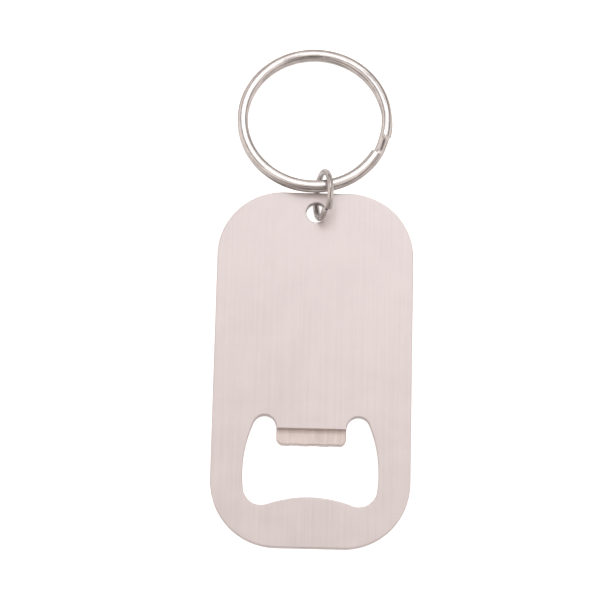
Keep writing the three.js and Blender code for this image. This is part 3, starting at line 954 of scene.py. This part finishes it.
def studio_floor(studio):
    half = studio.floor_width / 2
    low = PACKED_BOX[0].z - FLOOR_BELOW
    mesh = bpy.data.meshes.new("floor")
    corners = [(-half, -half, low), (half, -half, low), (half, half, low), (-half, half, low)]
    mesh.from_pydata(corners, [], [(0, 1, 2, 3)])
    material = bpy.data.materials.new("floor_white")
    material.use_nodes = True
    shader = material.node_tree.nodes["Principled BSDF"]
    shader.inputs["Base Color"].default_value = opaque(studio.floor_colour)
    shader.inputs["Roughness"].default_value = 0.9
    shader.inputs["Specular IOR Level"].default_value = 0.1
    sketch = NodeSketch(material.node_tree)
    path = sketch.add("ShaderNodeLightPath").outputs
    reflected = sketch.math("MULTIPLY", path["Is Glossy Ray"], FLOOR_IN_METAL)
    seen = sketch.math("MAXIMUM", path["Is Camera Ray"], reflected)
    glow = sketch.math("MULTIPLY", seen, studio.floor_glow)
    shader.inputs["Emission Color"].default_value = (1.0, 1.0, 1.0, 1.0)
    sketch.tree.links.new(glow, shader.inputs["Emission Strength"])
    mesh.materials.append(material)
    floor = bpy.data.objects.new("floor", mesh)
    bpy.context.scene.collection.objects.link(floor)


def zone(sketch, angle, low, high, soft):
    """1 between two angles and 0 outside them, in degrees, with soft edges."""
    begun = sketch.ramp(angle, low - soft, low + soft)
    left = sketch.ramp(angle, high - soft, high + soft, 1.0, 0.0)
    return sketch.math("MULTIPLY", begun, left)


def studio_world(camera_side):
    """The room round the object, which gives all its light.

    A pale warm ceiling has a white softbox in it beyond the object, with a dark stand on each side.
    Both ends of the room are dimmer, and the camera is a dark patch.
    """
    world = bpy.data.worlds.new("room")
    world.use_nodes = True
    bpy.context.scene.world = world
    sketch = NodeSketch(world.node_tree)
    background = world.node_tree.nodes["Background"]
    direction = sketch.add("ShaderNodeTexCoord").outputs["Generated"]
    parts = sketch.add("ShaderNodeSeparateXYZ", {0: direction}).outputs
    ahead, sideways = (
        sketch.math("MULTIPLY", sketch.math("ARCTAN2", parts[axis], parts["Z"]), math.degrees(1))
        for axis in ("Y", "X"))
    level = sketch.ramp(ahead, *FAR_END, CEILING, FAR_END_LIGHT * CEILING)
    near_end = sketch.ramp(ahead, *NEAR_END, NEAR_END_LIGHT, 1.0)
    level = sketch.math("MULTIPLY", level, near_end)
    for across in STANDS_SIDEWAYS:
        beyond = sketch.ramp(ahead, *STANDS_AHEAD)
        stand = sketch.math("MULTIPLY", zone(sketch, sideways, *across), beyond)
        level = sketch.math("MULTIPLY", level, sketch.ramp(stand, 0.0, 1.0, 1.0, STAND_LIGHT))
    facing = sketch.add("ShaderNodeVectorMath", {
        0: direction, 1: camera_side,
    }, operation="DOT_PRODUCT").outputs["Value"]
    rim, full = (math.cos(math.radians(angle)) for angle in CAMERA_SHADE)
    level = sketch.math("MULTIPLY", level, sketch.ramp(facing, rim, full, 1.0, CAMERA_LIGHT))
    window = sketch.math("MULTIPLY", zone(sketch, ahead, *SOFTBOX_AHEAD),
                         zone(sketch, sideways, *SOFTBOX_SIDEWAYS))
    seen = sketch.mix(window, sketch.scaled(ROOM_TINT, level), opaque(SOFTBOX_LIGHT))
    sketch.tree.links.new(seen, background.inputs["Color"])
    background.inputs["Strength"].default_value = 1.0


# ---- Operators ------------------------------------------------------------------------------


class OPENER_OT_plate(bpy.types.Operator):
    """Build the stamped plate with its cap cut-out, pressed lip and round hole"""

    bl_idname = "opener.plate"
    bl_label = "Opener Plate"

    def execute(self, context):
        mesh = opener_plate_mesh(context.scene.opener_plate)
        mesh.materials.append(brushed_steel(context.scene.opener_finish))
        finished_piece("plate", mesh, "opener_plate", "opener_plate")
        return {"FINISHED"}


class OPENER_OT_jump_ring(bpy.types.Operator):
    """Build the round wire jump ring with its two cut ends"""

    bl_idname = "opener.jump_ring"
    bl_label = "Jump Ring"

    def execute(self, context):
        sizes = context.scene.opener_jump_ring
        radius = (sizes.inner_diameter + sizes.wire_diameter) / 2
        gap = sizes.joint_gap / radius
        mesh = wire_ring("jump_ring_wire", wire_tree("Jump Ring Wire", False), {
            "Radius": radius,
            "Start Angle": sizes.joint_angle + gap / 2,
            "Sweep": 2 * math.pi - gap,
            "Rise": sizes.joint_offset,
            "End Round": sizes.end_round,
            "End Spring": 0.0,
            "Wire Width": sizes.wire_diameter,
            "Points": JUMP_WIRE_POINTS,
            "Material": bright_nickel(
                "jump_ring_nickel", context.scene.opener_finish, **JUMP_WIRE_FINISH),
        }, jump_ring_place(sizes))
        finished_piece("jump_ring_wire", mesh, "jump_ring", "jump_ring")
        return {"FINISHED"}


class OPENER_OT_split_ring(bpy.types.Operator):
    """Build the split key ring, two coils of flat wire that cross over once"""

    bl_idname = "opener.split_ring"
    bl_label = "Split Ring"

    def execute(self, context):
        sizes = context.scene.opener_split_ring
        radius = (sizes.outer_diameter - sizes.wire_width) / 2
        pitch = sizes.wire_height + sizes.coil_gap
        turn = 2 * math.pi
        mesh = wire_ring("split_ring_wire", wire_tree("Split Ring Wire", True), {
            "Radius": radius,
            "Start Angle": sizes.crossover,
            "Sweep": 2 * turn - sizes.climb - sizes.end_gap,
            "Rise": pitch,
            "End Round": sizes.end_round,
            "End Spring": sizes.end_spring,
            "Wire Width": sizes.wire_width,
            "Wire Height": sizes.wire_height,
            "Fullness": sizes.fullness,
            "Climb Start": turn - sizes.climb,
            "Climb End": turn,
            "Points": SPLIT_WIRE_POINTS,
            "Material": bright_nickel(
                "split_ring_nickel", context.scene.opener_finish, **SPLIT_WIRE_FINISH),
        }, split_ring_place(sizes, radius, (pitch + sizes.wire_height) / 2))
        finished_piece("split_ring_wire", mesh, "split_ring", "split_ring")
        return {"FINISHED"}


class OPENER_OT_studio(bpy.types.Operator):
    """Set the floor, the soft light and the camera"""

    bl_idname = "opener.studio"
    bl_label = "Studio"

    def execute(self, context):
        studio = context.scene.opener_studio
        studio_floor(studio)
        middle = Vector((0, (PLATE_LOW.y + PLATE_HIGH.y) / 2, PLATE_HIGH.z))
        aim = middle + Vector((studio.aim_right, studio.aim_up, 0))
        back = Vector((0, -math.cos(studio.elevation), math.sin(studio.elevation)))
        studio_world(back)
        camera = bpy.data.cameras.new("camera")
        camera.lens = studio.focal_length
        camera.clip_start, camera.clip_end = 0.01, 10
        eye = bpy.data.objects.new("camera", camera)
        eye.location = aim + back * studio.distance
        eye.rotation_mode = "QUATERNION"
        level = (-back).to_track_quat("-Z", "Y")
        eye.rotation_quaternion = level @ Euler((0, 0, studio.roll)).to_quaternion()
        context.scene.collection.objects.link(eye)
        context.scene.camera = eye
        context.scene.view_settings.view_transform = "Standard"
        return {"FINISHED"}


class OPENER_PT_panel(bpy.types.Panel):
    """Lists the opener's pieces"""

    bl_label = "Bottle Opener"
    bl_idname = "OPENER_PT_panel"
    bl_space_type = "VIEW_3D"
    bl_region_type = "UI"
    bl_category = "Opener"

    def draw(self, context):
        for operator, sizes in STEPS:
            box = self.layout.box()
            box.operator(operator)
            self.list_values(box, getattr(context.scene, sizes))
        self.list_values(self.layout.box(), context.scene.opener_finish)

    def list_values(self, box, group):
        for name in group.bl_rna.properties.keys():
            if name not in {"rna_type", "name"}:
                box.prop(group, name)


STEPS = (
    ("opener.plate", "opener_plate"),
    ("opener.jump_ring", "opener_jump_ring"),
    ("opener.split_ring", "opener_split_ring"),
    ("opener.studio", "opener_studio"),
)
GROUPS = {
    "opener_plate": OpenerPlateSizes,
    "opener_jump_ring": JumpRingSizes,
    "opener_split_ring": SplitRingSizes,
    "opener_finish": OpenerFinish,
    "opener_studio": StudioSizes,
}
CLASSES = (
    *GROUPS.values(), OPENER_OT_plate, OPENER_OT_jump_ring, OPENER_OT_split_ring,
    OPENER_OT_studio, OPENER_PT_panel,
)


def register():
    for kind in CLASSES:
        bpy.utils.register_class(kind)
    for name, group in GROUPS.items():
        setattr(bpy.types.Scene, name, bpy.props.PointerProperty(type=group))


def unregister():
    for name in GROUPS:
        delattr(bpy.types.Scene, name)
    for kind in reversed(CLASSES):
        bpy.utils.unregister_class(kind)


def main():
    register()
    bpy.ops.opener.plate()
    bpy.ops.opener.jump_ring()
    bpy.ops.opener.split_ring()
    bpy.ops.opener.studio()


if __name__ == "__main__":
    main()
